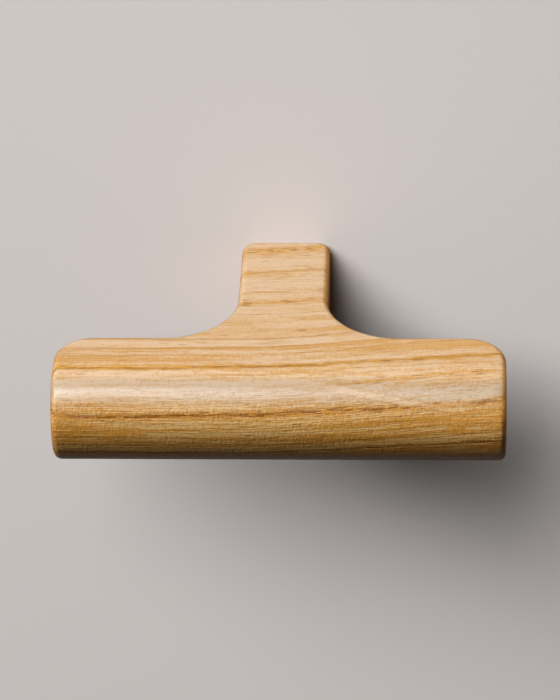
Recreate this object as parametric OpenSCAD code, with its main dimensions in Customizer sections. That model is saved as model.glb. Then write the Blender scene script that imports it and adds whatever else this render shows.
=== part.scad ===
// T-shaped wooden pull for a cabinet door or drawer front, with its fixing hardware.
// The mounting face lies in the plane y = 0, the grip bar points to -Y, and +Z is up.

/* [Handle] */
// Length of the grip bar, end to end
bar_length = 64; // [54:1:120]
// Depth of the grip bar, from its back edge to the front of its round nose
bar_depth = 14.5; // [13:0.5:24]
// Thickness of the whole handle, from its top face to its bottom face
thickness = 15; // [13:0.5:18]
// Width of the neck
neck_width = 13; // [12:0.5:20]
// Length of the neck, from the mounting face to the back edge of the bar
neck_length = 26; // [20:0.5:40]
// Radius of the hollow curve between the neck and the bar
neck_fillet_r = 10.5; // [3:0.5:14]
// Radius of the two back corners of the bar, seen from above
corner_r = 5.5; // [2.5:0.5:8]
// Radius of the two corners at the end of the neck, seen from above
neck_corner_r = 2; // [1.4:0.1:2.4]
// Radius of the eased edges
edge_r = 1; // [0.4:0.1:1.2]

/* [Threaded insert] */
// Outer diameter of the insert
insert_d = 8; // [7:0.5:9]
// Length of the insert
insert_length = 12; // [8:0.5:15]
// How far the insert sits below the mounting face
insert_sink = 0.3; // [0.1:0.1:1]
// Width of the insert's hexagon drive, across its flats
hex_width = 4.6; // [4.5:0.1:5.5]
// Depth of the insert's hexagon drive
hex_depth = 3; // [2:0.5:4]
// Empty length of the drilled hole behind the insert
drill_room = 1; // [0.5:0.5:3]

/* [Screw and washer] */
// Thickness of the door or drawer front that the pull clamps
panel_thickness = 18; // [12:1:30]
// Outer diameter of the screw's thread
screw_d = 4; // [3:0.1:4.2]
// How far the screw reaches into the pull, past the mounting face
screw_reach = 11.2; // [8:0.1:12]
// Diameter of the screw's pan head
head_d = 8; // [7:0.5:9]
// Height of the screw's pan head
head_height = 3.1; // [2.5:0.1:3.5]
// Radius of the sphere that domes the screw's head
head_dome_r = 6.5; // [6:0.5:10]
// Length of each arm of the cross recess, tip to tip
recess_length = 4.4; // [3:0.1:5]
// Width of each arm of the cross recess
recess_width = 0.9; // [0.6:0.1:1.2]
// Depth of the cross recess
recess_depth = 1.9; // [1:0.1:2.2]
// Chamfer at the tip of the screw
tip_chamfer = 0.6; // [0.2:0.1:1]
// Outer diameter of the washer
washer_d = 9; // [8:0.5:12]
// Thickness of the washer
washer_thickness = 0.8; // [0.5:0.1:1.5]

/* [Clearances] */
// Gap all round between the insert and its drilled hole
insert_gap = 0.05; // [0.01:0.01:0.1]
// Gap all round between the screw and the insert
thread_gap = 0.05; // [0.01:0.01:0.1]
// Gap all round between the screw and the washer
washer_gap = 0.15; // [0.05:0.05:0.3]

/* [Hidden] */
$fn = 64;

// Overlap of a cut or of a joined solid
lap = 0.5;
// Least straight run left between two curves of the outline
least_run = 0.5;
// Least width of flat wood left beside the mouth of the drilled hole
least_land = 0.2;

// The nose is half a cylinder, so its radius is half the thickness.
nose_r = thickness / 2;
back_y = -neck_length;
nose_y = back_y - bar_depth + nose_r;
// Corners and fillets are limited by the straight edges that they meet.
bar_corner_r = max(2 * edge_r, min(corner_r, bar_depth - nose_r - least_run));
corner_x = bar_length / 2 - bar_corner_r;
insert_hole_d = insert_d + 2 * insert_gap;
end_corner_r = max(
    edge_r + least_land,
    min(neck_corner_r, neck_width / 2 - insert_hole_d / 2 - least_land)
);
end_x = neck_width / 2 - end_corner_r;
fillet_r = min(
    neck_fillet_r,
    neck_length - end_corner_r - least_run,
    corner_x - neck_width / 2 - least_run
);
fillet_x = neck_width / 2 + fillet_r;
fillet_y = back_y + fillet_r;
// Width of the rim that carries the eased edges round the outline
rim_width = 2 * edge_r;

insert_hole_depth = insert_sink + insert_length + drill_room;
insert_bore_d = screw_d + 2 * thread_gap;
head_y = panel_thickness + washer_thickness;

// Cross-section of the rim: full thickness, with its outer edge at x = w rounded above and below.
module rim_profile(w) {
    difference() {
        translate([0, -thickness / 2])
            square([w, thickness]);
        for (side = [0, 1])
            mirror([0, side])
                translate([w - edge_r, thickness / 2 - edge_r])
                    corner_waste();
    }
}

// What easing takes off a square corner: the corner beyond a quarter circle round the origin.
module corner_waste() {
    difference() {
        square(edge_r + lap);
        circle(r = edge_r);
    }
}

// Straight run of the rim along +Y from the origin, with its rounded edge on the +X side.
module rim_run(length) {
    translate([-rim_width, length, 0])
        rotate([90, 0, 0])
            linear_extrude(length)
                rim_profile(rim_width);
}

// Quarter turn of the rim round an outer corner of radius r, from +X to +Y.
module rim_corner(r) {
    rotate_extrude(angle = 90)
        rim_profile(r);
}

// Quarter turn of the rim round an inner corner of radius r, from -X to -Y.
module rim_hollow(r) {
    rotate([0, 0, 180])
        rotate_extrude(angle = 90)
            translate([r + rim_width, 0])
                mirror([1, 0])
                    rim_profile(rim_width);
}

// Half of the rim, on the +X side, from the nose round the back of the bar to the end of the neck.
module half_rim() {
    translate([bar_length / 2, nose_y, 0])
        rim_run(back_y - bar_corner_r - nose_y);
    translate([corner_x, back_y - bar_corner_r, 0])
        rim_corner(bar_corner_r);
    translate([corner_x, back_y, 0])
        rotate([0, 0, 90])
            rim_run(corner_x - fillet_x);
    translate([fillet_x, fillet_y, 0])
        rim_hollow(fillet_r);
    translate([neck_width / 2, fillet_y, 0])
        rim_run(-end_corner_r - fillet_y);
    translate([end_x, -end_corner_r, 0])
        rim_corner(end_corner_r);
    translate([end_x, 0, 0])
        rotate([0, 0, 90])
            rim_run(end_x);
}

// Plan of the bar behind its nose, set in by the edge radius.
module bar_plan() {
    half = bar_length / 2 - edge_r;
    translate([-half, nose_y])
        square([2 * half, back_y - bar_corner_r - nose_y]);
    translate([-corner_x, nose_y])
        square([2 * corner_x, back_y - edge_r - nose_y]);
    for (side = [0, 1])
        mirror([side, 0])
            translate([corner_x, back_y - bar_corner_r])
                intersection() {
                    circle(r = bar_corner_r - edge_r);
                    square(bar_corner_r);
                }
}

// Plan of the empty space beside the neck on the +X side, widened by the edge radius.
module side_space_plan() {
    reach = bar_length;
    translate([fillet_x, fillet_y])
        circle(r = fillet_r + edge_r);
    translate([fillet_x, back_y - edge_r])
        square([reach, neck_length + reach]);
    translate([neck_width / 2 - edge_r, fillet_y])
        square([reach, neck_length + reach]);
}

// Plan of the neck and its two hollow curves, set in by the edge radius.
module neck_plan() {
    difference() {
        translate([-fillet_x, nose_y])
            square([2 * fillet_x, -end_corner_r - nose_y]);
        side_space_plan();
        mirror([1, 0])
            side_space_plan();
    }
    translate([-end_x, fillet_y])
        square([2 * end_x, -edge_r - fillet_y]);
    for (side = [0, 1])
        mirror([side, 0])
            translate([end_x, -end_corner_r])
                intersection() {
                    circle(r = end_corner_r - edge_r);
                    square(end_corner_r);
                }
}

// Round nose of the bar: half a cylinder along X with eased ends.
module nose() {
    translate([0, nose_y, 0])
        rotate([0, 90, 180])
            rotate_extrude(angle = 180)
                nose_profile();
}

// Half section of the nose: x is the distance from the nose's axis, y runs along the bar.
module nose_profile() {
    difference() {
        translate([0, -bar_length / 2])
            square([nose_r, bar_length]);
        for (side = [0, 1])
            mirror([0, side])
                translate([nose_r - edge_r, bar_length / 2 - edge_r])
                    corner_waste();
    }
}

// Handle in one piece of oak, drilled for the insert.
module pull_body() {
    color([0.85, 0.68, 0.45])
        difference() {
            union() {
                translate([0, 0, -thickness / 2])
                    linear_extrude(thickness) {
                        bar_plan();
                        neck_plan();
                    }
                half_rim();
                mirror([1, 0, 0])
                    half_rim();
                nose();
            }
            translate([0, lap, 0])
                rotate([90, 0, 0])
                    cylinder(d = insert_hole_d, h = insert_hole_depth + lap);
        }
}

// Brass insert with a machine thread inside, screwed into the end of the neck.
module threaded_insert() {
    color([0.80, 0.62, 0.28])
        translate([0, -insert_sink, 0])
            rotate([90, 0, 0])
                difference() {
                    cylinder(d = insert_d, h = insert_length);
                    translate([0, 0, -lap])
                        cylinder(d = insert_bore_d, h = insert_length + 2 * lap);
                    translate([0, 0, -lap])
                        cylinder(d = hex_width / cos(30), h = hex_depth + lap, $fn = 6);
                }
}

// Pan-head machine screw that comes through the panel from behind.
module mounting_screw() {
    shank = head_y + screw_reach;
    color([0.75, 0.76, 0.78])
        translate([0, head_y, 0])
            rotate([90, 0, 0])
                difference() {
                    union() {
                        cylinder(d = screw_d, h = shank - tip_chamfer);
                        translate([0, 0, shank - tip_chamfer])
                            cylinder(d1 = screw_d, d2 = screw_d - 2 * tip_chamfer, h = tip_chamfer);
                        screw_head();
                    }
                    for (turn = [0, 90])
                        rotate([0, 0, turn])
                            translate([-recess_length / 2, -recess_width / 2, -head_height - lap])
                                cube([recess_length, recess_width, recess_depth + lap]);
                }
}

// Domed head of the screw, with its seat at z = 0 and its dome towards -Z.
module screw_head() {
    intersection() {
        translate([0, 0, -head_height])
            cylinder(d = head_d, h = head_height);
        translate([0, 0, head_dome_r - head_height])
            sphere(r = head_dome_r);
    }
}

// Flat washer between the screw's head and the back of the panel.
module screw_washer() {
    color([0.70, 0.71, 0.73])
        translate([0, head_y, 0])
            rotate([90, 0, 0])
                difference() {
                    cylinder(d = washer_d, h = washer_thickness);
                    translate([0, 0, -lap])
                        cylinder(d = screw_d + 2 * washer_gap, h = washer_thickness + 2 * lap);
                }
}

pull_body();
threaded_insert();
mounting_screw();
screw_washer();
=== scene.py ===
"""Dresses a T-shaped oak cabinet pull: the oak handle, its brass insert, the fixing screw and its washer."""

import math
from collections import namedtuple
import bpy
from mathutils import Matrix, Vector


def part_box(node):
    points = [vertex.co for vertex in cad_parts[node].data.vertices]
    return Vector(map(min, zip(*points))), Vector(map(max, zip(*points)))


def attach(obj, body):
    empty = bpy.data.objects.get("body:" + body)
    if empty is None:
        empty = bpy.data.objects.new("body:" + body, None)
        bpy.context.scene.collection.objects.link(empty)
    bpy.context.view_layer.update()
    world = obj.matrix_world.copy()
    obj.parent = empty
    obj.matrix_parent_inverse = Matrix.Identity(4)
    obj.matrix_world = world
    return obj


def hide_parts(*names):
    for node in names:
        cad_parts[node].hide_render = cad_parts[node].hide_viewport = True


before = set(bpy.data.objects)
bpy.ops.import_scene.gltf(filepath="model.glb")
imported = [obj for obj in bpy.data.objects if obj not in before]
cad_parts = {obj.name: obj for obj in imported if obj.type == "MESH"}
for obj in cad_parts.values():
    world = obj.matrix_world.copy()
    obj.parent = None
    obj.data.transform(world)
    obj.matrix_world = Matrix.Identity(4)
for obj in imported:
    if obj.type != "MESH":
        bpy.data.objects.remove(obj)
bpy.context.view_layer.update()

from types import SimpleNamespace

import bmesh
import bpy
import numpy as np
from bpy.props import FloatProperty, FloatVectorProperty, PointerProperty
from mathutils import Matrix, Vector

bl_info = {
    "name": "Oak T Pull",
    "version": (1, 0, 0),
    "blender": (4, 5, 0),
    "location": "3D View > Sidebar > Oak Pull",
    "description": "Builds a T-shaped oak cabinet pull with its insert, screw and washer",
    "category": "Object",
}

HANDLE_LOW, HANDLE_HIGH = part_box("pull_body")
INSERT_LOW, INSERT_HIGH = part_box("threaded_insert")
SCREW_LOW, SCREW_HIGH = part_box("mounting_screw")
WASHER_LOW, WASHER_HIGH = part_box("screw_washer")
MM = 0.001
MERGE_DISTANCE = 0.001 * MM
SMOOTH_ANGLE = math.radians(38)

# Steps of the handle's surface
BAR_END_STEPS = 2
CORNER_STEPS = 20
BACK_STEPS = 12
HOLLOW_STEPS = 36
SIDE_STEPS = 16
END_STEPS = 8
EDGE_STEPS = 8
WALL_STEPS = 8
NOSE_STEPS = 72
BAR_STEPS = 64
FACE_STEPS = 5

# Steps of the hardware's surfaces
ROWS_PER_PITCH = 10
WOOD_ROWS_PER_PITCH = 24
ARM_STEPS = 6
DOME_STEPS = 11
RECESS_STEPS = 5
HEX_STEPS = 12
WASHER_STEPS = 96

# Flats at a thread's crest and root, as shares of its pitch
MACHINE_FLATS = (0.125, 0.25)
WOOD_FLATS = (0.08, 0.45)

# Small forms of the screw: tip inside the thread's root, eased head, taper and point of the recess
TIP_INSET = 0.15 * MM
HEAD_EASE = 0.3 * MM
RECESS_TAPER = 0.35
RECESS_POINT = 0.25 * MM
LEAST_SINE = 1e-6

# Small forms of the insert: runs over which its thread rises and fades, height it rises from, mouth
LEAD_IN = 1.2 * MM
LEAD_OUT = 0.6 * MM
LEAD_HEIGHT = 0.15
MOUTH_CHAMFER = 0.2 * MM

# Small forms of the washer: rolled edge of one face, bevel of the other
WASHER_ROLL = 0.3 * MM
WASHER_BEVEL = 0.08 * MM

# Sockets of a Mix node for colours: factor, first and second colour, result
MIX_INPUTS = (0, 6, 7)
MIX_RESULT = 2

# Growth rings, in millimetres from the nose's axis: centre, half width, strength
TAN_BANDS = (
    (-21.5, 0.8, 0.8), (-17.0, 0.9, 0.6), (-8.6, 0.7, 0.8), (-5.8, 0.25, 0.6), (-0.9, 0.6, 0.5),
    (1.3, 0.6, 0.3), (2.8, 0.6, -1.6), (3.7, 0.4, 1.1), (4.9, 0.8, 1.1), (5.5, 0.3, 0.6), (7.15, 0.6, -1.0),
)
GOLDEN_BANDS = (
    (-25.3, 0.8, 1.0), (-20.6, 0.6, 1.0), (-12.9, 0.8, 1.0), (-9.1, 0.4, 0.7), (-4.0, 0.7, 0.9),
    (-0.5, 0.3, 0.3), (1.2, 0.45, 0.4), (6.51, 0.32, 1.0), (7.74, 0.12, 0.45),
)
GREY_LINES = (
    (-19.7, 0.3, 0.35), (-15.9, 0.18, 0.45), (-11.9, 0.15, 0.5), (-9.9, 0.15, 0.4), (-7.4, 0.15, 0.3),
    (-5.8, 0.12, 0.7), (-3.4, 0.1, 0.6), (-1.9, 0.1, 0.7), (-0.7, 0.1, 0.7), (0.7, 0.1, 0.6),
    (2.0, 0.12, 0.8), (3.45, 0.14, 1.0), (3.95, 0.08, 0.7), (4.6, 0.1, 0.9), (5.5, 0.07, 0.5),
    (7.2, 0.06, 0.4), (7.5, 0.05, 0.4),
)
DARK_LINES = (
    (-25.4, 0.14, 0.35), (-20.8, 0.1, 0.5), (-13.2, 0.1, 0.4), (-9.1, 0.08, 0.5), (-4.0, 0.1, 0.5),
    (1.9, 0.1, 0.4), (6.57, 0.15, 1.1), (6.76, 0.05, 0.4), (7.74, 0.05, 0.3),
)
# Dark line low on the nose
LOW_LINES = ((1.9, 0.22, 0.8),)
# Painted shade along the top of the nose, by distance in front of its axis
PAINTED_NOSE_SHADE_BANDS = ((4.5, 1.9, 0.9),)
# A pale tongue that crosses the nose at a slant, with a thin furrow on each side
TONGUE_SLOPE = 0.135
TONGUE_BANDS = ((7.165, 0.36, 0.5),)
FURROW_BANDS = ((6.72, 0.1, 0.8), (7.6, 0.12, 0.6))

# Noises of the oak: cycles per millimetre along the grain, through and along the rings; detail; roughness
OAK_NOISES = {
    "wander": ((0.03, 0.14, 0.14), 2.0, 0.5),
    "ragged": ((0.3, 1.4, 1.4), 3.0, 0.5),
    "frayed": ((1.4, 3.6, 3.6), 1.0, 0.5),
    "field": ((0.03, 0.5, 0.5), 2.0, 0.5),
    "streak": ((0.07, 2.2, 2.2), 3.0, 0.65),
    "fibre": ((0.25, 5.0, 5.0), 2.0, 0.65),
    "fleck": ((0.7, 3.0, 3.0), 2.0, 0.6),
    "dash": ((0.2, 0.8, 0.8), 2.0, 0.5),
    "hair": ((0.035, 1.0, 1.0), 2.0, 0.5),
    "patch": ((0.07, 0.6, 0.6), 2.0, 0.5),
    "ray": ((2.8, 0.9, 1.6), 2.0, 0.5),
    "grit": ((1.6, 3.0, 3.0), 1.0, 0.5),
}
NOISE_MIDDLE = 0.5
# Cells that hold one pore each, in cycles per millimetre
PORE_CELLS = (0.36, 3.4, 3.4)

# How far the noises move the rings and the tongue, in millimetres
WANDER_SWING = 0.9
RAGGED_SWING = 0.4
FRAYED_SWING = 0.12
TONGUE_SWING = 0.5
# How much the noises and the tan bands shade the dense wood
SHADE_SWINGS = {"field": 1.6, "streak": 1.5, "fibre": 2.0, "ray": 0.9}
TAN_SHADE = 0.4

# The ramps below give the two places between which a value changes, then its ends if they aren't 0 and 1.
# Along the bar, in millimetres from its middle
TWIST_ALONG = (-8.0, 36.0)
RISE_ALONG = (0.0, 32.0, 0.0, 0.22)
TATTER_ALONG = (-8.0, 14.0, 0.45, 1.5)
CALM_ALONG = (10.0, -10.0, 0.0, 0.6)
# Painted shade: the wood leans to tan towards the right end, where less light falls
SHADE_ALONG = (0.0, 25.0, 0.0, 0.32)
GAP_START, GAP_END = (18.0, 21.0), (29.0, 26.0)
TONGUE_START, TONGUE_END = (5.0, 10.0), (27.0, 23.0)
# In front of the nose's axis, in millimetres
REAR_FORWARD = (-2.0, -6.0)
VIGOUR_FORWARD = (-8.0, 6.0, 0.9, 2.2)
SHADE_FORWARD = (-6.0, 0.0, 0.3, 1.0)
# Through the rings, in millimetres
SHADE_DEPTH = (-7.0, 3.0, 0.05, 0.36)
# Up from the middle of the thickness, in millimetres
# Painted shade along the top of the nose, from nothing at the first height to full at the second
PAINTED_NOSE_SHADE_HEIGHT = (0.0, 2.0)
FRONT_HEIGHT = (6.8, 4.5)
CREST_HEIGHT = (7.2, 6.0, 0.7, 1.0)
LOW_HEIGHT = (1.0, -1.0)
GRIT_HEIGHT = (7.3, 3.5, 0.4, 1.0)
# Painted shade: the wood deepens and warms down the front of the nose between these heights
FRONT_SHADE_TINT_HEIGHT = (5.9, 3.0)
# Painted shade: the wood darkens under the nose between these heights
UNDER_SHADE_TINT_HEIGHT = (1.5, -2.0)
# Painted shade: the right end darkens below these heights
LOW_END_SHADE_HEIGHT = (4.5, 1.0)
RELIEF_HEIGHT = (7.2, 0.0, 0.5, 1.0)
WEAVE_HEIGHT = (7.2, 2.0, 0.2, 1.4)
# By how far a face looks along the bar, from -1 to 1
# Painted shade on faces turned to the right
LOW_END_SHADE_FACING = (0.15, 0.6)
# End grain darkens both ends; the right end takes it in full and the left only up to 0.3, so on the right it
# is partly painted shade
RIGHT_END_GRAIN_AND_SHADE_FACING = (0.2, 0.7)
LEFT_END_FACING = (-0.3, -0.9, 0.0, 0.3)
# By the value of a noise or of a pore
PORE_CHANCE = (-0.05, 0.1)
PORE_EDGE = (0.4, 0.18)
PORE_ROUGHNESS = (0.0, 1.0, 0.38, 0.6)
HAIR_EDGE = (0.04, 0.0)
HAIR_PATCH = (0.47, 0.65)
GOLD_FLECK = (0.42, 0.58, 1.0, 0.35)
GREY_STREAK = (0.35, 0.6, 0.2, 1.0)
DARK_DASH = (0.4, 0.58, 0.5, 1.1)
DARK_FLECK = (0.36, 0.52)
GRIT_SPECK = (0.5, 0.7)
WEAVE_PATCH = (0.4, 0.6, 0.5, 1.2)

# The rings twist only this far behind the nose's axis, in millimetres
TWIST_REACH = 5.0
# Strength of the rings on the top and on the front, and what they lose in the gap of the front
TOP_STRENGTH = 1.0
FRONT_STRENGTH = 1.2
GAP_LOSS = 0.9
# Share of cells with an open pore: how much more in a golden band, and anywhere
GOLDEN_PORES = 0.6
OTHER_PORES = 0.06
HAIR_STRENGTH = 0.6
PORE_STRENGTH = 0.85
# Relief of the oak: depth of pores and dark lines, height of streaks and fibres, strength and depth of all
SUNK_RELIEF = 0.7
STREAK_RELIEF = 0.5
FIBRE_RELIEF = 1.8
OAK_BUMP = 0.7
OAK_BUMP_DEPTH = 0.12 * MM
LACQUER_WEIGHT = 0.75
LACQUER_ROUGHNESS = 0.26

# Metals: noises in cycles per millimetre with their detail, ramps by their values, roughness, relief
METAL_CLOUD = ((0.7, 0.7, 0.7), 3.0)
TOOL_MARK = ((1.2, 14.0, 1.2), 2.0)
CLOUD_RANGE = (0.35, 0.7)
TOOL_MARK_RANGE = (0.2, 0.8)
SMOOTHER, ROUGHER = -0.08, 0.1
BRASS_ROUGHNESS = 0.3
ZINC_ROUGHNESS = 0.32
METAL_BUMP = 0.15
METAL_BUMP_DEPTH = 0.03 * MM

# The wall stands just proud of the mounting face, with an opening behind the neck.
WALL_HALF_WIDTH = 3.0
WALL_TOP = 3.0
WALL_BOTTOM = -0.5
WALL_Y = -0.02 * MM
OPENING_HALF_WIDTH = 5.0 * MM
OPENING_HALF_HEIGHT = 6.6 * MM
# How bright the wall shows in reflections, as a share of its own colour
MIRRORED = 0.18
# Where the world's front half turns into its rear half, by the Y of a direction
REAR_HALF = (0.4, 0.8)

# A lamp lights only the wall (INCLUDE) or all but the wall (EXCLUDE), and may show in reflections.
Lamp = namedtuple("Lamp", "name direction distance size radiance shift wall reflected")
LAMPS = (
    Lamp("softbox", (0.0, -0.46, 0.888), 2.0, (2.6, 0.7), 13.0, -1.38, "EXCLUDE", True),
    Lamp("side", (-1.0, -0.16, 0.2), 1.5, (0.6, 0.8), 8.8, 0.0, "EXCLUDE", False),
    Lamp("fill", (0.8, -0.12, 0.65), 1.5, (1.4, 1.2), 2.0, 0.0, "EXCLUDE", False),
    Lamp("wall_wash", (-0.75, -1.0, 1.25), 2.0, (1.8, 1.0), 15.5, 0.0, "INCLUDE", True),
    Lamp("low_wash", (-1.0, -0.9, 0.25), 2.0, (1.2, 0.6), 0.35, 0.0, "INCLUDE", True),
    Lamp("bounce", (-0.8, -0.4, -0.9), 1.5, (2.0, 2.0), 0.14, 0.0, "EXCLUDE", False),
)


def length(name, description, default):
    """A length in metres that a user may change."""
    return FloatProperty(name=name, description=description, default=default, unit="LENGTH", precision=5)


def angle(name, description, degrees):
    """An angle that a user may change."""
    return FloatProperty(name=name, description=description, default=math.radians(degrees), unit="ROTATION")


def colour(name, description, default):
    """A linear colour that a user may change."""
    return FloatVectorProperty(
        name=name, description=description, default=default, subtype="COLOR", size=4, min=0, max=1
    )


class HandleSettings(bpy.types.PropertyGroup):
    """Sizes, wood colours and painted shade tints of the handle."""

    bar_length: length("Bar length", "Grip bar, end to end", HANDLE_HIGH.x - HANDLE_LOW.x)
    thickness: length("Thickness", "Top face to bottom face", HANDLE_HIGH.z - HANDLE_LOW.z)
    reach: length("Reach", "Mounting face to the front of the nose", HANDLE_HIGH.y - HANDLE_LOW.y)
    neck_length: length("Neck length", "Mounting face to the back edge of the bar", 26 * MM)
    neck_width: length("Neck width", "Width of the neck", 13 * MM)
    fillet_radius: length("Fillet radius", "Hollow curve between neck and bar", 10.5 * MM)
    corner_radius: length("Corner radius", "Back corners of the bar, seen from above", 5.5 * MM)
    end_corner_radius: length("End corner radius", "Corners at the end of the neck, seen from above", 2 * MM)
    edge_radius: length("Edge radius", "Eased edges all round", 1 * MM)
    bore_diameter: length("Bore diameter", "Hole drilled for the insert", 8.1 * MM)
    bore_depth: length("Bore depth", "Depth of the hole for the insert", 13.3 * MM)
    ring_lean: angle("Ring lean", "Slope of the growth rings in the left half of the bar", 51)
    ring_twist: angle("Ring twist", "How much steeper the rings get towards the right end", 21)
    pale_wood: colour("Pale wood", "Dense wood between the pores", (0.66, 0.465, 0.29, 1))
    tan_wood: colour("Tan wood", "Darker streaks of the dense wood", (0.575, 0.305, 0.082, 1))
    # Painted shade: darkens the wood along the top of the nose
    worn_tint: colour("Painted nose shade tint", "How the wood darkens along the top of the nose", (0.66, 0.675, 0.68, 1))
    golden_wood: colour("Golden wood", "Open-pored bands", (0.58, 0.285, 0.045, 1))
    grey_wood: colour("Grey wood", "Thin grey-brown lines", (0.47, 0.25, 0.075, 1))
    amber_wood: colour("Amber wood", "Dark lines where a ring starts", (0.30, 0.125, 0.006, 1))
    pore_wood: colour("Pore", "Inside of the open pores", (0.34, 0.135, 0.008, 1))
    grit_tint: colour("Grit tint", "How fine specks darken the wood", (0.82, 0.76, 0.64, 1))
    # Painted shade: deepens and warms the wood down the front of the nose
    front_shade_tint: colour("Front shade tint", "How the wood warms down the nose", (0.97, 0.845, 0.50, 1))
    # Painted shade: darkens the wood under the nose
    under_shade_tint: colour("Under shade tint", "How the wood darkens under the nose", (0.68, 0.60, 0.42, 1))
    # Painted shade: darkens the right end near its bottom
    low_end_shade_tint: colour("Low end shade tint", "How the right end darkens near its bottom", (0.42, 0.36, 0.24, 1))
    # End grain darkens the ends; at the right end, which takes it in full, it is partly painted shade
    end_grain_and_shade_tint: colour("End grain and shade tint", "How the cut ends of the grain darken the wood", (0.84, 0.58, 0.15, 1))


class HardwareSettings(bpy.types.PropertyGroup):
    """Sizes and metal colours of the insert, the screw and the washer."""

    screw_pitch: length("Screw pitch", "Pitch of the machine thread", 0.7 * MM)
    screw_thread_depth: length("Screw thread depth", "Crest to root of the machine thread", 0.43 * MM)
    thread_gap: length("Thread gap", "Play between the screw and the insert", 0.05 * MM)
    insert_pitch: length("Insert pitch", "Pitch of the insert's wood thread", 2 * MM)
    insert_thread_depth: length("Insert thread depth", "Crest to root of the wood thread", 0.75 * MM)
    hex_width: length("Hexagon width", "Hexagon drive across its flats", 4.6 * MM)
    hex_depth: length("Hexagon depth", "Depth of the hexagon drive", 3 * MM)
    head_height: length("Head height", "Height of the screw's pan head", 3.1 * MM)
    dome_radius: length("Dome radius", "Sphere that domes the screw's head", 6.5 * MM)
    shank_diameter: length("Shank diameter", "Outer diameter of the machine thread", 4 * MM)
    recess_length: length("Recess length", "Cross recess, tip to tip", 4.4 * MM)
    recess_width: length("Recess width", "Arm of the cross recess", 0.9 * MM)
    recess_depth: length("Recess depth", "Depth of the cross recess", 1.9 * MM)
    washer_bore: length("Washer bore", "Hole in the washer", 4.3 * MM)
    brass: colour("Brass", "Turned brass of the insert", (0.80, 0.57, 0.23, 1))
    brass_dull: colour("Dull brass", "Duller clouds of the brass", (0.58, 0.38, 0.14, 1))
    zinc: colour("Zinc", "Bright zinc plate of the screw and washer", (0.72, 0.74, 0.77, 1))
    zinc_dull: colour("Dull zinc", "Bluish clouds of the zinc plate", (0.53, 0.57, 0.64, 1))


class StageSettings(bpy.types.PropertyGroup):
    """Camera, wall and even light."""

    aim: FloatVectorProperty(
        name="Aim", description="Point in the middle of the picture",
        default=(-0.06 * MM, -27.12 * MM, 5.79 * MM), subtype="TRANSLATION", unit="LENGTH",
    )
    azimuth: angle("Azimuth", "Turn of the camera to the right of the front", 2.77)
    elevation: angle("Elevation", "Height of the camera above the horizon", 33.16)
    roll: angle("Roll", "Turn of the camera about its own view", 1.37)
    distance: length("Distance", "Camera to the aim point", 498.6 * MM)
    lens: FloatProperty(name="Lens", description="Focal length", default=180, unit="CAMERA")
    wall_colour: colour("Wall", "Painted front behind the pull", (0.52, 0.485, 0.472, 1))
    front_glow: colour("Front glow", "Even light from the front half", (0.004, 0.004, 0.004, 1))
    rear_glow: colour("Rear glow", "Even light from behind the wall", (0.6, 0.56, 0.54, 1))


class OakPullSettings(bpy.types.PropertyGroup):
    """All settings of the pull."""

    handle: PointerProperty(type=HandleSettings)
    hardware: PointerProperty(type=HardwareSettings)
    stage: PointerProperty(type=StageSettings)


def grid_quads(rows, columns, closed=False):
    """Quads between neighbouring points of a grid, row by row; closed joins the last column to the first."""
    row = np.arange(rows - 1)[:, None] * columns
    left = np.arange(columns if closed else columns - 1)[None]
    right = (left + 1) % columns
    return np.stack([row + left, row + right, row + columns + right, row + columns + left], -1).reshape(-1, 4)


def make_piece(name, patches, material, node):
    """Joins patches of (points, polygons) into one closed mesh that stands for a solid of the frame."""
    points, polygons, start = [], [], 0
    for patch_points, patch_polygons in patches:
        patch_points = np.asarray(patch_points).reshape(-1, 3)
        points.append(patch_points)
        polygons += (np.asarray(patch_polygons) + start).tolist()
        start += len(patch_points)
    mesh = bpy.data.meshes.new(name)
    mesh.from_pydata(np.concatenate(points).tolist(), [], polygons)
    shell = bmesh.new()
    shell.from_mesh(mesh)
    bmesh.ops.remove_doubles(shell, verts=shell.verts, dist=MERGE_DISTANCE)
    bmesh.ops.recalc_face_normals(shell, faces=shell.faces)
    shell.to_mesh(mesh)
    shell.free()
    mesh.shade_smooth()
    mesh.set_sharp_from_angle(angle=SMOOTH_ANGLE)
    mesh.materials.append(material)
    piece = bpy.data.objects.new(name, mesh)
    bpy.context.scene.collection.objects.link(piece)
    shading = piece.modifiers.new("Even shading", "WEIGHTED_NORMAL")
    shading.keep_sharp = True
    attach(piece, "root")
    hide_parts(node)


def straight(start, end, outward, count):
    """Points start + t (end - start) for t from 0 up to but without 1, with one outward direction."""
    t = np.arange(count)[:, None] / count
    return np.array(start) + t * (np.array(end) - np.array(start)), np.tile(outward, (count, 1))


def turn(centre, radius, first, last, count, hollow=False):
    """Points centre + radius (cos a, sin a) for a from first up to but without last, in degrees."""
    a = np.radians(first + (last - first) * np.arange(count) / count)
    ray = np.stack([np.cos(a), np.sin(a)], -1)
    return np.array(centre) + radius * ray, -ray if hollow else ray


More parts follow.
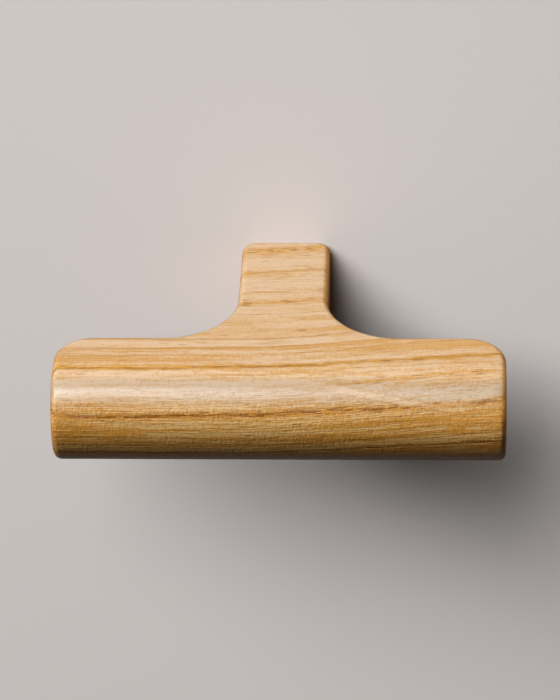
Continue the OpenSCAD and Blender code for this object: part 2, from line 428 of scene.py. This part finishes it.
def handle_outline(size, nose_y):
    """Outline of the handle from the right end of its nose round the back to the left end, seen from above.

    Straight runs and quarter turns follow each other; the left half mirrors the right one."""
    half, back, neck = size.bar_length / 2, -size.neck_length, size.neck_width / 2
    corner, hollow, end = size.corner_radius, size.fillet_radius, size.end_corner_radius
    parts = [
        straight((half, nose_y), (half, back - corner), (1, 0), BAR_END_STEPS),
        turn((half - corner, back - corner), corner, 0, 90, CORNER_STEPS),
        straight((half - corner, back), (neck + hollow, back), (0, 1), BACK_STEPS),
        turn((neck + hollow, back + hollow), hollow, 270, 180, HOLLOW_STEPS, hollow=True),
        straight((neck, back + hollow), (neck, -end), (1, 0), SIDE_STEPS),
        turn((neck - end, -end), end, 0, 90, EDGE_STEPS),
        straight((neck - end, 0), (0, 0), (0, 1), END_STEPS),
    ]
    points = np.concatenate([p for p, _ in parts])
    outward = np.concatenate([n for _, n in parts])
    mirror = np.array([-1, 1])
    points = np.concatenate([points, [[0, 0]], points[::-1] * mirror])
    outward = np.concatenate([outward, [[0, 1]], outward[::-1] * mirror])
    return points, outward


def rim_section(size):
    """Section of the rim from the top face over the eased edge, down the wall and under the bottom edge.

    A quarter circle, a line and a quarter circle: how far inside the outline, and the height."""
    a = np.linspace(math.pi / 2, 0, EDGE_STEPS + 1)
    half, edge = size.thickness / 2, size.edge_radius
    inset = edge * (1 - np.cos(a))
    height = half - edge * (1 - np.sin(a))
    wall = np.linspace(half - edge, edge - half, 2 * WALL_STEPS + 1)[1:-1]
    return np.concatenate([inset, 0 * wall, inset[::-1]]), np.concatenate([height, wall, -height[::-1]])


def handle_patches(size):
    """Closed surface of the handle: rim, nose, top and bottom faces, mounting face and bore.

    The rim carries its section along the outline, and the nose turns half of that section about its axis."""
    half, radius = size.bar_length / 2, size.thickness / 2
    nose_y = radius - size.reach
    outline, outward = handle_outline(size, nose_y)
    inset, height = rim_section(size)
    plan = outline[:, None] - inset[None, :, None] * outward[:, None]
    rim = np.concatenate([plan, np.broadcast_to(height[None, :, None], plan.shape[:2] + (1,))], -1)
    quads = grid_quads(*rim.shape[:2])
    middle, columns = len(outline) // 2, len(height)
    first, last = middle - END_STEPS, middle + END_STEPS
    top, bottom = EDGE_STEPS, columns - 1 - EDGE_STEPS
    row, column = np.divmod(quads[:, 0], columns)
    on_face = (row >= first) & (row < last) & (column >= top) & (column < bottom)

    # The nose includes the eased ends of the bar.
    upper = height > -MERGE_DISTANCE
    end_x, end_r = half - inset[upper][::-1], height[upper][::-1]
    bar_x = np.linspace(half - size.edge_radius, size.edge_radius - half, BAR_STEPS + 1)[1:-1]
    nose_x = np.concatenate([end_x, bar_x, -end_x[::-1]])
    nose_r = np.concatenate([end_r, np.full(len(bar_x), radius), end_r[::-1]])
    a = np.linspace(math.pi / 2, -math.pi / 2, NOSE_STEPS + 1)[:, None]
    nose = np.stack(
        np.broadcast_arrays(nose_x[None], nose_y - nose_r * np.cos(a), nose_r * np.sin(a)), -1
    )
    straight_part = slice(len(end_x), len(end_x) + len(bar_x))
    top_face = np.concatenate([rim[:, 0], nose[0, straight_part][::-1]])
    bottom_face = np.concatenate([rim[:, -1], nose[-1, straight_part][::-1]])

    # The mounting face runs from the bore's circle out to the rectangle that the rim leaves open.
    loop = np.concatenate([
        rim[first:last, top],
        rim[last, top:bottom],
        rim[last:first:-1, bottom],
        rim[first, bottom:top:-1],
    ])
    ray = np.arctan2(loop[:, 2], loop[:, 0])
    circle = np.stack([np.cos(ray), 0 * ray, np.sin(ray)], -1) * size.bore_diameter / 2
    t = np.linspace(0, 1, FACE_STEPS)[:, None, None]
    face = circle + t * (loop - circle)
    floor = np.array([0, -size.bore_depth, 0])
    bore = np.stack([circle, circle + floor, np.broadcast_to(floor, circle.shape)])
    return [
        (rim, quads[~on_face]),
        (nose, grid_quads(*nose.shape[:2])),
        (top_face, [np.arange(len(top_face))]),
        (bottom_face, [np.arange(len(bottom_face))]),
        (face, grid_quads(FACE_STEPS, len(loop), closed=True)),
        (bore, grid_quads(len(bore), len(loop), closed=True)),
    ]


def thread_wave(y, turn_angle, pitch, flats):
    """Height of a thread from 0 at its root to 1 at its crest: flanks cut off by flats, once per pitch."""
    crest, root = flats
    phase = np.mod(y / pitch + turn_angle / (2 * math.pi), 1)
    flank = (1 - crest - root) / 2
    return np.clip((flank + crest / 2 - np.abs(phase - 0.5)) / flank, 0, 1)


def machine_thread(y, turn_angle, hardware):
    """Radius of the machine thread at a height and an angle: crest - depth (1 - wave)."""
    wave = thread_wave(y, turn_angle, hardware.screw_pitch, MACHINE_FLATS)
    return hardware.shank_diameter / 2 - hardware.screw_thread_depth * (1 - wave)


def cross_angles(hardware):
    """Angles round the cross recess, with its corners among them: four arms of the same steps."""
    tip = math.atan2(hardware.recess_width, hardware.recess_length)
    side = np.linspace(tip, math.pi / 4, ARM_STEPS + 1)
    arm = np.concatenate([-side[:0:-1], [-tip, 0, tip], side[1:-1]])
    return (np.arange(4)[:, None] * math.pi / 2 + arm[None]).ravel()


def cross_radius(turn_angle, hardware):
    """Distance from the middle to the outline of the cross: to the arm's tip or side, whichever is nearer."""
    folded = np.abs(np.mod(turn_angle + math.pi / 4, math.pi / 2) - math.pi / 4)
    tip = hardware.recess_length / 2 / np.cos(folded)
    side = hardware.recess_width / 2 / np.maximum(np.sin(folded), LEAST_SINE)
    return np.minimum(tip, side)


def turned(radius, y, turn_angle):
    """Points round the screw's axis: (r sin a, y, r cos a)."""
    radius, y, turn_angle = np.broadcast_arrays(radius, y, turn_angle)
    return np.stack([radius * np.sin(turn_angle), y, radius * np.cos(turn_angle)], -1)


def ring_patch(*rings):
    """One patch of rings about the screw's axis, each joined to the next."""
    rows = np.concatenate(rings)
    return [(rows, grid_quads(*rows.shape[:2], closed=True))]


def screw_patches(hardware, seat, tip, crown, head_radius):
    """One grid from the tip up the thread, under and over the head and down into the recess.

    Every row is a ring about the axis; thread, dome and recess give the radius and height at each angle."""
    a = cross_angles(hardware)[None]
    y = np.arange(tip, seat, hardware.screw_pitch / ROWS_PER_PITCH)[:, None]
    core = hardware.shank_diameter / 2 - hardware.screw_thread_depth
    chamfer = core - TIP_INSET + (y - tip)
    shank = turned(np.minimum(machine_thread(y, a, hardware), chamfer), y, a)
    dome_centre = crown - hardware.dome_radius

    def dome(radius):
        """Height of the head's sphere at a distance from the axis."""
        return dome_centre + np.sqrt(hardware.dome_radius ** 2 - radius ** 2)

    q = np.linspace(0, math.pi / 2, EDGE_STEPS + 1)[:, None]
    under = turned(head_radius - HEAD_EASE * (1 - np.sin(q)), seat + HEAD_EASE * (1 - np.cos(q)), a)
    shoulder_r = head_radius - HEAD_EASE * (1 - np.cos(q))
    rim_y = dome(head_radius - HEAD_EASE) - HEAD_EASE
    shoulder = turned(shoulder_r, rim_y + HEAD_EASE * np.sin(q), a)
    outline = cross_radius(a, hardware)
    t = np.linspace(0, 1, DOME_STEPS + 1)[1:, None]
    dome_r = shoulder_r[-1] + t * (outline - shoulder_r[-1])
    depth = np.linspace(0, 1, RECESS_STEPS + 1)[1:, None]
    floor = crown - hardware.recess_depth
    recess = turned(outline * (1 - RECESS_TAPER * depth), dome(outline) * (1 - depth) + floor * depth, a)
    return ring_patch(
        turned(0.0, tip, a),
        shank,
        turned(core, seat, a),
        under,
        shoulder,
        turned(dome_r, dome(dome_r), a),
        recess,
        turned(0.0, floor - RECESS_POINT, a),
    )


def insert_patches(hardware, front, back, radius):
    """One closed grid: up the wood thread, over the end, down the hexagon and the machine thread, and back.

    Every row is a ring about the axis; thread and hexagon give the radius at each angle."""
    a = (np.arange(6 * HEX_STEPS) * math.pi / 3 / HEX_STEPS)[None]
    y = np.arange(back, front, hardware.insert_pitch / WOOD_ROWS_PER_PITCH)[:, None]
    wave = thread_wave(y, a, hardware.insert_pitch, WOOD_FLATS)
    lead = np.clip((y - back) / LEAD_IN, LEAD_HEIGHT, 1) * np.clip((front - y) / LEAD_OUT, 0, 1)
    outer = turned(radius - hardware.insert_thread_depth * (1 - wave * lead), y, a)
    folded = np.mod(a, math.pi / 3) - math.pi / 6
    hexagon = hardware.hex_width / 2 / np.cos(folded)
    floor = front - hardware.hex_depth
    inner_y = np.arange(floor, back, -hardware.screw_pitch / ROWS_PER_PITCH)[:, None]
    inner = turned(machine_thread(inner_y, a, hardware) + hardware.thread_gap, inner_y, a)
    core = radius - hardware.insert_thread_depth
    return ring_patch(
        outer,
        turned(core, front - MOUTH_CHAMFER, a),
        turned(core - MOUTH_CHAMFER, front, a),
        turned(hexagon + MOUTH_CHAMFER, front, a),
        turned(hexagon, front - MOUTH_CHAMFER, a),
        turned(hexagon, floor, a),
        inner,
        turned(hardware.shank_diameter / 2 + hardware.thread_gap, back, a),
        outer[:1],
    )


def washer_patches(hardware, near, far, radius):
    """A ring whose section is a rectangle, rolled at its edges on one face and bevelled on the other."""
    a = np.linspace(0, 2 * math.pi, WASHER_STEPS, endpoint=False)[None]
    bore = hardware.washer_bore / 2
    q = np.linspace(0, math.pi / 2, EDGE_STEPS + 1)[:, None]
    by_sine, by_cosine = WASHER_ROLL * (1 - np.sin(q)), WASHER_ROLL * (1 - np.cos(q))
    return ring_patch(
        turned(bore, near + WASHER_BEVEL, a),
        turned(bore + WASHER_BEVEL, near, a),
        turned(radius - WASHER_BEVEL, near, a),
        turned(radius, near + WASHER_BEVEL, a),
        turned(radius - by_cosine, far - by_sine, a),
        turned(bore + by_sine, far - by_cosine, a),
        turned(bore, near + WASHER_BEVEL, a),
    )


def add_node(tree, kind, inputs=None, **settings):
    """Adds a shader node; an input that is a socket is linked, any other value is set."""
    node = tree.nodes.new(kind)
    for key, value in settings.items():
        setattr(node, key, value)
    for key, value in (inputs or {}).items():
        if isinstance(value, bpy.types.NodeSocket):
            tree.links.new(value, node.inputs[key])
        else:
            node.inputs[key].default_value = value
    return node


def calc(tree, operation, *values, clamp=False):
    """Result of a Math node."""
    inputs = dict(enumerate(values))
    return add_node(tree, "ShaderNodeMath", inputs, operation=operation, use_clamp=clamp).outputs[0]


def times(tree, first, second, clamp=False):
    """Product of two values."""
    return calc(tree, "MULTIPLY", first, second, clamp=clamp)


def plus(tree, first, second):
    """Sum of two values."""
    return calc(tree, "ADD", first, second)


def ramp(tree, value, low, high, to_low=0.0, to_high=1.0):
    """Smooth step of a value from low to high."""
    inputs = {"Value": value, "From Min": low, "From Max": high, "To Min": to_low, "To Max": to_high}
    return add_node(tree, "ShaderNodeMapRange", inputs, interpolation_type="SMOOTHSTEP").outputs[0]


def stretched(tree, vector, scale):
    """A vector scaled by its own factor along each axis."""
    return add_node(tree, "ShaderNodeMapping", {"Vector": vector, "Scale": scale}).outputs[0]


def noise(tree, vector, scale, detail, roughness=0.5):
    """Noise from 0 to 1 on a stretched vector, in cycles per millimetre."""
    place = stretched(tree, vector, scale)
    inputs = {"Vector": place, "Scale": 1.0, "Detail": detail, "Roughness": roughness}
    return add_node(tree, "ShaderNodeTexNoise", inputs).outputs["Fac"]


def swing(tree, value, amount):
    """Noise from 0 to 1 made to swing about 0."""
    return calc(tree, "MULTIPLY_ADD", value, amount, -amount * NOISE_MIDDLE)


def mix(tree, factor, first, second, blend="MIX"):
    """Blend of two colours."""
    inputs = dict(zip(MIX_INPUTS, (factor, first, second)))
    return add_node(tree, "ShaderNodeMix", inputs, data_type="RGBA", blend_type=blend).outputs[MIX_RESULT]


def bands(tree, coordinate, table):
    """Sum of bells 1 - ((s - centre) / half width)^2, cut off at 0, each times its strength."""
    total = 0.0
    for centre, half_width, strength in table:
        offset = calc(tree, "MULTIPLY_ADD", coordinate, 1 / half_width, -centre / half_width)
        bell = calc(tree, "SUBTRACT", 1.0, times(tree, offset, offset), clamp=True)
        total = calc(tree, "MULTIPLY_ADD", bell, strength, total)
    return total


def new_material(name):
    """A material with its node tree and its shader."""
    material = bpy.data.materials.new(name)
    material.use_nodes = True
    tree = material.node_tree
    return material, tree, tree.nodes["Principled BSDF"]


def millimetres(tree):
    """Object coordinates in millimetres, and the object's normal."""
    coordinates = add_node(tree, "ShaderNodeTexCoord").outputs
    inputs = {"Vector": coordinates["Object"], "Scale": 1 / MM}
    scaled = add_node(tree, "ShaderNodeVectorMath", inputs, operation="SCALE")
    return scaled.outputs[0], coordinates["Normal"]


def dress(tree, shader, tone, roughness, relief, strength, depth):
    """Gives a shader its colour, its roughness and a fine relief."""
    bump = add_node(tree, "ShaderNodeBump", {"Strength": strength, "Distance": depth, "Height": relief})
    for name, socket in (("Base Color", tone), ("Roughness", roughness), ("Normal", bump.outputs[0])):
        tree.links.new(socket, shader.inputs[name])


def wood_place(tree, size):
    """Coordinates of the wood in millimetres, with the noises on them.

    With f for the way in front of the nose's axis and a for the rings' lean, depth is f cos a + z sin a,
    and the way along the rings is z cos a - f sin a. In depth, what of f lies behind the twist's reach
    counts with the untwisted lean."""
    place, normal = millimetres(tree)
    x, y, z = add_node(tree, "ShaderNodeSeparateXYZ", {0: place}).outputs
    facing = add_node(tree, "ShaderNodeSeparateXYZ", {0: normal}).outputs[0]
    forward = calc(tree, "SUBTRACT", (size.thickness / 2 - size.reach) / MM, y)
    lean = ramp(tree, x, *TWIST_ALONG, size.ring_lean, size.ring_lean + size.ring_twist)
    sine = calc(tree, "SINE", lean)
    cosine = calc(tree, "COSINE", lean)
    near = calc(tree, "MAXIMUM", forward, -TWIST_REACH)
    far = calc(tree, "SUBTRACT", forward, near)
    depth = plus(tree, times(tree, near, cosine), times(tree, z, sine))
    depth = calc(tree, "MULTIPLY_ADD", far, math.cos(size.ring_lean), depth)
    across = calc(tree, "SUBTRACT", times(tree, z, cosine), times(tree, forward, sine))
    grain = add_node(tree, "ShaderNodeCombineXYZ", {0: x, 1: depth, 2: across}).outputs[0]
    noises = {name: noise(tree, grain, *pattern) for name, pattern in OAK_NOISES.items()}
    return SimpleNamespace(x=x, z=z, forward=forward, facing=facing, depth=depth, grain=grain, noise=noises)


def add_painted_nose_shade(tree, wood):
    """Marks the band of painted shade along the top of the nose, and how lively the pattern is: calmer on its
    left.
    """
    # Painted shade along the top of the nose
    wood.worn = times(tree, bands(tree, wood.forward, PAINTED_NOSE_SHADE_BANDS), ramp(tree, wood.z, *PAINTED_NOSE_SHADE_HEIGHT))
    calm = times(tree, wood.worn, ramp(tree, wood.x, *CALM_ALONG))
    wood.lively = calc(tree, "SUBTRACT", 1.0, calm)


def add_rings(tree, wood):
    """Finds the place among the growth rings, and from it the golden bands, grey lines and dark lines."""
    ring = plus(tree, wood.depth, ramp(tree, wood.x, *RISE_ALONG))
    ring = plus(tree, ring, swing(tree, wood.noise["wander"], WANDER_SWING))
    tatter = ramp(tree, wood.x, *TATTER_ALONG)
    for name, amount in (("ragged", RAGGED_SWING), ("frayed", FRAYED_SWING)):
        ring = calc(tree, "MULTIPLY_ADD", swing(tree, wood.noise[name], amount), tatter, ring)

    gap = times(tree, ramp(tree, wood.x, *GAP_START), ramp(tree, wood.x, *GAP_END))
    strength = calc(tree, "MULTIPLY_ADD", gap, -GAP_LOSS, FRONT_STRENGTH)
    front = ramp(tree, wood.z, *FRONT_HEIGHT, TOP_STRENGTH, strength)
    rear = ramp(tree, wood.forward, *REAR_FORWARD)
    front = times(tree, calc(tree, "MAXIMUM", front, rear), wood.lively)
    crest = calc(tree, "MAXIMUM", ramp(tree, wood.z, *CREST_HEIGHT), rear)
    below = ramp(tree, wood.z, *LOW_HEIGHT)
    low = times(tree, times(tree, front, crest), plus(tree, below, 1.0))
    dark = times(tree, bands(tree, ring, DARK_LINES), low)
    dark = calc(tree, "MULTIPLY_ADD", bands(tree, ring, LOW_LINES), below, dark)
    dark = times(tree, dark, ramp(tree, wood.noise["dash"], *DARK_DASH))
    wood.ring = ring
    wood.golden = times(tree, bands(tree, ring, GOLDEN_BANDS), front)
    wood.grey = times(tree, bands(tree, ring, GREY_LINES), wood.lively)
    wood.dark = times(tree, dark, ramp(tree, wood.noise["fleck"], *DARK_FLECK), clamp=True)


def add_pores(tree, wood):
    """Marks the open pores: one long pore to a cell, open in more cells where the bands are golden."""
    inputs = {"Vector": stretched(tree, wood.grain, PORE_CELLS), "Scale": 1.0, "Randomness": 1.0}
    cells = add_node(tree, "ShaderNodeTexVoronoi", inputs).outputs
    chance = add_node(tree, "ShaderNodeSeparateColor", {0: cells["Color"]}).outputs[0]
    share = calc(tree, "MULTIPLY_ADD", wood.golden, GOLDEN_PORES, OTHER_PORES)
    is_open = ramp(tree, calc(tree, "SUBTRACT", share, chance), *PORE_CHANCE)
    wood.pore = times(tree, ramp(tree, cells["Distance"], *PORE_EDGE), is_open)


def dense_tone(tree, wood, size):
    """Colour of the wood between the lines: pale to tan by place, noise and ring, darker where shade is
    painted along the top of the nose.
    """
    vigour = times(tree, ramp(tree, wood.forward, *VIGOUR_FORWARD), wood.lively)
    # Painted shade: the wood leans to tan towards the right end, where less light falls
    shade = times(tree, ramp(tree, wood.x, *SHADE_ALONG), ramp(tree, wood.forward, *SHADE_FORWARD))
    shade = plus(tree, ramp(tree, wood.depth, *SHADE_DEPTH), shade)
    for name, amount in SHADE_SWINGS.items():
        shade = calc(tree, "MULTIPLY_ADD", swing(tree, wood.noise[name], amount), vigour, shade)
    shade = calc(tree, "MULTIPLY_ADD", bands(tree, wood.ring, TAN_BANDS), TAN_SHADE, shade, clamp=True)
    tone = mix(tree, shade, size.pale_wood, size.tan_wood)
    # Painted shade along the top of the nose
    return mix(tree, wood.worn, tone, size.worn_tint, "MULTIPLY")


def lined_tone(tree, wood, size, tone):
    """Lays the tongue, its furrows, hair lines, golden bands, grey and dark lines and pores over a colour."""
    slant = calc(tree, "MULTIPLY_ADD", wood.x, TONGUE_SLOPE, wood.z)
    slant = plus(tree, slant, swing(tree, wood.noise["ragged"], TONGUE_SWING))
    within = times(tree, ramp(tree, wood.x, *TONGUE_START), ramp(tree, wood.x, *TONGUE_END))
    hair = calc(tree, "ABSOLUTE", calc(tree, "SUBTRACT", wood.noise["hair"], NOISE_MIDDLE))
    hair = times(tree, ramp(tree, hair, *HAIR_EDGE), ramp(tree, wood.noise["patch"], *HAIR_PATCH))
    gold = times(tree, wood.golden, ramp(tree, wood.noise["fleck"], *GOLD_FLECK), clamp=True)
    grey = times(tree, wood.grey, ramp(tree, wood.noise["streak"], *GREY_STREAK), clamp=True)
    layers = (
        (times(tree, bands(tree, slant, TONGUE_BANDS), within), size.pale_wood),
        (times(tree, bands(tree, slant, FURROW_BANDS), within), size.grey_wood),
        (times(tree, hair, HAIR_STRENGTH), size.grey_wood),
        (gold, size.golden_wood),
        (grey, size.grey_wood),
        (wood.dark, size.amber_wood),
        (times(tree, wood.pore, PORE_STRENGTH), size.pore_wood),
    )
    for factor, layer in layers:
        tone = mix(tree, factor, tone, layer)
    return tone


def tinted_tone(tree, wood, size, tone):
    """Tints a colour by fine specks and by end grain, and paints shade down the front, under the nose, low on
    the right and on the right end.
    """
    grit = times(tree, ramp(tree, wood.noise["grit"], *GRIT_SPECK), ramp(tree, wood.z, *GRIT_HEIGHT))
    # Painted shade low on the right end
    low_end = times(tree, ramp(tree, wood.facing, *LOW_END_SHADE_FACING), ramp(tree, wood.z, *LOW_END_SHADE_HEIGHT))
    # End grain at both ends, with painted shade added on the right end
    ends = [ramp(tree, wood.facing, *side) for side in (RIGHT_END_GRAIN_AND_SHADE_FACING, LEFT_END_FACING)]
    tints = (
        (grit, size.grit_tint),
        # Painted shade down the front of the nose
        (ramp(tree, wood.z, *FRONT_SHADE_TINT_HEIGHT), size.front_shade_tint),
        # Painted shade under the nose
        (ramp(tree, wood.z, *UNDER_SHADE_TINT_HEIGHT), size.under_shade_tint),
        # Painted shade low on the right end
        (low_end, size.low_end_shade_tint),
        # End grain at both ends, with painted shade added on the right end
        (calc(tree, "MAXIMUM", *ends), size.end_grain_and_shade_tint),
    )
    for factor, tint in tints:
        tone = mix(tree, factor, tone, tint, "MULTIPLY")
    return tone


def oak_relief(tree, wood):
    """Height of the surface: fibres and streaks stand up, pores and dark lines sink in, rays weave across."""
    sunk = calc(tree, "MAXIMUM", wood.pore, wood.dark)
    streaks = times(tree, wood.noise["streak"], STREAK_RELIEF)
    relief = calc(tree, "MULTIPLY_ADD", sunk, -SUNK_RELIEF, streaks)
    relief = calc(tree, "MULTIPLY_ADD", wood.noise["fibre"], FIBRE_RELIEF, relief)
    relief = times(tree, relief, ramp(tree, wood.z, *RELIEF_HEIGHT))
    weave = times(tree, ramp(tree, wood.z, *WEAVE_HEIGHT), ramp(tree, wood.noise["patch"], *WEAVE_PATCH))
    return calc(tree, "MULTIPLY_ADD", wood.noise["ray"], weave, relief)


def oak_material(size):
    """Solid oak: leaning growth rings, open pores, streaks along X and fine rays, under a satin lacquer."""
    material, tree, shader = new_material("oak")
    wood = wood_place(tree, size)
    add_painted_nose_shade(tree, wood)
    add_rings(tree, wood)
    add_pores(tree, wood)
    tone = lined_tone(tree, wood, size, dense_tone(tree, wood, size))
    tone = tinted_tone(tree, wood, size, tone)
    roughness = ramp(tree, wood.pore, *PORE_ROUGHNESS)
    dress(tree, shader, tone, roughness, oak_relief(tree, wood), OAK_BUMP, OAK_BUMP_DEPTH)
    shader.inputs["Coat Weight"].default_value = LACQUER_WEIGHT
    shader.inputs["Coat Roughness"].default_value = LACQUER_ROUGHNESS
    return material


def metal_material(name, bright, dull, roughness):
    """Plated or turned metal: clouds of a duller tone and fine tool marks round the axis."""
    material, tree, shader = new_material(name)
    place, _ = millimetres(tree)
    marks = noise(tree, place, *TOOL_MARK)
    tone = mix(tree, ramp(tree, noise(tree, place, *METAL_CLOUD), *CLOUD_RANGE), bright, dull)
    uneven = ramp(tree, marks, *TOOL_MARK_RANGE, roughness + SMOOTHER, roughness + ROUGHER)
    dress(tree, shader, tone, uneven, marks, METAL_BUMP, METAL_BUMP_DEPTH)
    shader.inputs["Metallic"].default_value = 1.0
    return material


class OAKPULL_OT_handle(bpy.types.Operator):
    """Make the oak handle"""

    bl_idname = "oakpull.handle"
    bl_label = "Oak handle"

    def execute(self, context):
        size = context.scene.oak_pull.handle
        make_piece("oak_handle", handle_patches(size), oak_material(size), "pull_body")
        return {"FINISHED"}


class OAKPULL_OT_insert(bpy.types.Operator):
    """Make the brass insert"""

    bl_idname = "oakpull.insert"
    bl_label = "Brass insert"

    def execute(self, context):
        hardware = context.scene.oak_pull.hardware
        patches = insert_patches(hardware, INSERT_HIGH.y, INSERT_LOW.y, INSERT_HIGH.z)
        brass = metal_material("brass", hardware.brass, hardware.brass_dull, BRASS_ROUGHNESS)
        make_piece("brass_insert", patches, brass, "threaded_insert")
        return {"FINISHED"}


class OAKPULL_OT_fixing(bpy.types.Operator):
    """Make the screw and its washer"""

    bl_idname = "oakpull.fixing"
    bl_label = "Screw and washer"

    def execute(self, context):
        hardware = context.scene.oak_pull.hardware
        zinc = metal_material("zinc_plate", hardware.zinc, hardware.zinc_dull, ZINC_ROUGHNESS)
        seat = WASHER_HIGH.y
        screw = screw_patches(hardware, seat, SCREW_LOW.y, seat + hardware.head_height, SCREW_HIGH.z)
        make_piece("machine_screw", screw, zinc, "mounting_screw")
        washer = washer_patches(hardware, WASHER_LOW.y, WASHER_HIGH.y, WASHER_HIGH.z)
        make_piece("flat_washer", washer, zinc, "screw_washer")
        return {"FINISHED"}


def wall_material(paint):
    """Matt paint that shows from its front only, and darker in reflections."""
    material, tree, shader = new_material("wall_paint")
    tree.nodes.remove(shader)
    path = add_node(tree, "ShaderNodeLightPath").outputs
    mirrored = tuple(MIRRORED * channel for channel in paint[:3]) + (1,)
    seen = mix(tree, path["Is Glossy Ray"], paint, mirrored)
    coat = add_node(tree, "ShaderNodeBsdfDiffuse", {"Color": seen}).outputs[0]
    clear = add_node(tree, "ShaderNodeBsdfTransparent").outputs[0]
    behind = add_node(tree, "ShaderNodeNewGeometry").outputs["Backfacing"]
    both = add_node(tree, "ShaderNodeMixShader", {0: behind, 1: coat, 2: clear})
    tree.links.new(both.outputs[0], tree.nodes["Material Output"].inputs["Surface"])
    return material


def add_wall(paint):
    """Wall facing -Y, open behind the neck so that light reaches its end."""
    outer = [
        (-WALL_HALF_WIDTH, WALL_BOTTOM), (WALL_HALF_WIDTH, WALL_BOTTOM),
        (WALL_HALF_WIDTH, WALL_TOP), (-WALL_HALF_WIDTH, WALL_TOP),
    ]
    across, up = OPENING_HALF_WIDTH, OPENING_HALF_HEIGHT
    inner = [(-across, -up), (across, -up), (across, up), (-across, up)]
    corners = [(x, WALL_Y, z) for x, z in outer + inner]
    faces = [(k, (k + 1) % 4, (k + 1) % 4 + 4, k + 4) for k in range(4)]
    mesh = bpy.data.meshes.new("wall")
    mesh.from_pydata(corners, [], faces)
    mesh.materials.append(wall_material(paint))
    wall = bpy.data.objects.new("wall", mesh)
    bpy.context.scene.collection.objects.link(wall)
    return wall


def add_lamp(lamp, wall):
    """Rectangular lamp that faces the origin, then moves sideways. Its power is radiance x area x pi.

    It lights either the wall alone or everything but the wall."""
    light = bpy.data.lights.new(lamp.name, "AREA")
    light.shape = "RECTANGLE"
    width, height = lamp.size
    light.size, light.size_y = width, height
    light.energy = lamp.radiance * width * height * math.pi
    source = bpy.data.objects.new(lamp.name, light)
    towards = Vector(lamp.direction).normalized()
    source.rotation_euler = towards.to_track_quat("Z", "Y").to_euler()
    source.location = towards * lamp.distance + Vector((lamp.shift, 0, 0))
    source.visible_camera = False
    source.visible_glossy = lamp.reflected
    bpy.context.scene.collection.objects.link(source)
    linked = bpy.data.collections.new(lamp.name + "_wall")
    linked.objects.link(wall)
    linked.collection_objects[0].light_linking.link_state = lamp.wall
    source.light_linking.receiver_collection = linked


def add_camera(stage):
    """Camera that looks at the aim point from the set azimuth, elevation and distance, then rolls."""
    turn_z, rise = stage.azimuth, stage.elevation
    back = Vector((math.sin(turn_z) * math.cos(rise), -math.cos(turn_z) * math.cos(rise), math.sin(rise)))
    right = Vector((math.cos(turn_z), math.sin(turn_z), 0))
    up = back.cross(right)
    rolled_right = right * math.cos(stage.roll) - up * math.sin(stage.roll)
    rolled_up = right * math.sin(stage.roll) + up * math.cos(stage.roll)
    data = bpy.data.cameras.new("camera")
    data.lens = stage.lens
    camera = bpy.data.objects.new("camera", data)
    pose = Matrix((rolled_right, rolled_up, back)).transposed().to_4x4()
    pose.translation = Vector(stage.aim) + back * stage.distance
    camera.matrix_world = pose
    bpy.context.scene.collection.objects.link(camera)
    bpy.context.scene.camera = camera


def set_world(front, rear, background):
    """Even light, faint from the front half and brighter behind the wall.

    The picture shows a pale background, and so does the metal where it mirrors the rear half."""
    world = bpy.data.worlds.new("studio")
    world.use_nodes = True
    tree = world.node_tree
    ray = add_node(tree, "ShaderNodeLightPath").outputs
    direction = add_node(tree, "ShaderNodeTexCoord").outputs["Generated"]
    along = add_node(tree, "ShaderNodeSeparateXYZ", {0: direction}).outputs[1]
    behind = ramp(tree, along, *REAR_HALF)
    glow = mix(tree, behind, front, rear)
    mirrored = calc(tree, "MAXIMUM", ray["Is Glossy Ray"], ray["Is Transmission Ray"])
    shown = calc(tree, "MULTIPLY_ADD", mirrored, behind, ray["Is Camera Ray"], clamp=True)
    tree.links.new(mix(tree, shown, glow, background), tree.nodes["Background"].inputs["Color"])
    bpy.context.scene.world = world


class OAKPULL_OT_stage(bpy.types.Operator):
    """Make the wall, the lights and the camera"""

    bl_idname = "oakpull.stage"
    bl_label = "Wall, lights and camera"

    def execute(self, context):
        stage = context.scene.oak_pull.stage
        context.scene.view_settings.view_transform = "Standard"
        add_camera(stage)
        wall = add_wall(tuple(stage.wall_colour))
        for lamp in LAMPS:
            add_lamp(lamp, wall)
        set_world(stage.front_glow, stage.rear_glow, stage.wall_colour)
        return {"FINISHED"}


class OAKPULL_PT_sidebar(bpy.types.Panel):
    """Operators and settings of the pull"""

    bl_idname = "OAKPULL_PT_sidebar"
    bl_label = "Oak Pull"
    bl_space_type = "VIEW_3D"
    bl_region_type = "UI"
    bl_category = "Oak Pull"

    def draw(self, context):
        for operator in OPERATORS:
            self.layout.operator(operator.bl_idname)
        settings = context.scene.oak_pull
        for group in (settings.handle, settings.hardware, settings.stage):
            box = self.layout.box()
            for name in group.__annotations__:
                box.prop(group, name)


SETTINGS = (HandleSettings, HardwareSettings, StageSettings, OakPullSettings)
OPERATORS = (OAKPULL_OT_stage, OAKPULL_OT_handle, OAKPULL_OT_insert, OAKPULL_OT_fixing)
CLASSES = SETTINGS + OPERATORS + (OAKPULL_PT_sidebar,)


def register():
    """Registers every class and hangs the settings on the scene."""
    for item in CLASSES:
        bpy.utils.register_class(item)
    bpy.types.Scene.oak_pull = PointerProperty(type=OakPullSettings)


def unregister():
    """Takes the settings off the scene and unregisters every class."""
    del bpy.types.Scene.oak_pull
    for item in reversed(CLASSES):
        bpy.utils.unregister_class(item)


def main():
    register()
    bpy.ops.oakpull.stage()
    bpy.ops.oakpull.handle()
    bpy.ops.oakpull.insert()
    bpy.ops.oakpull.fixing()


if __name__ == "__main__":
    main()
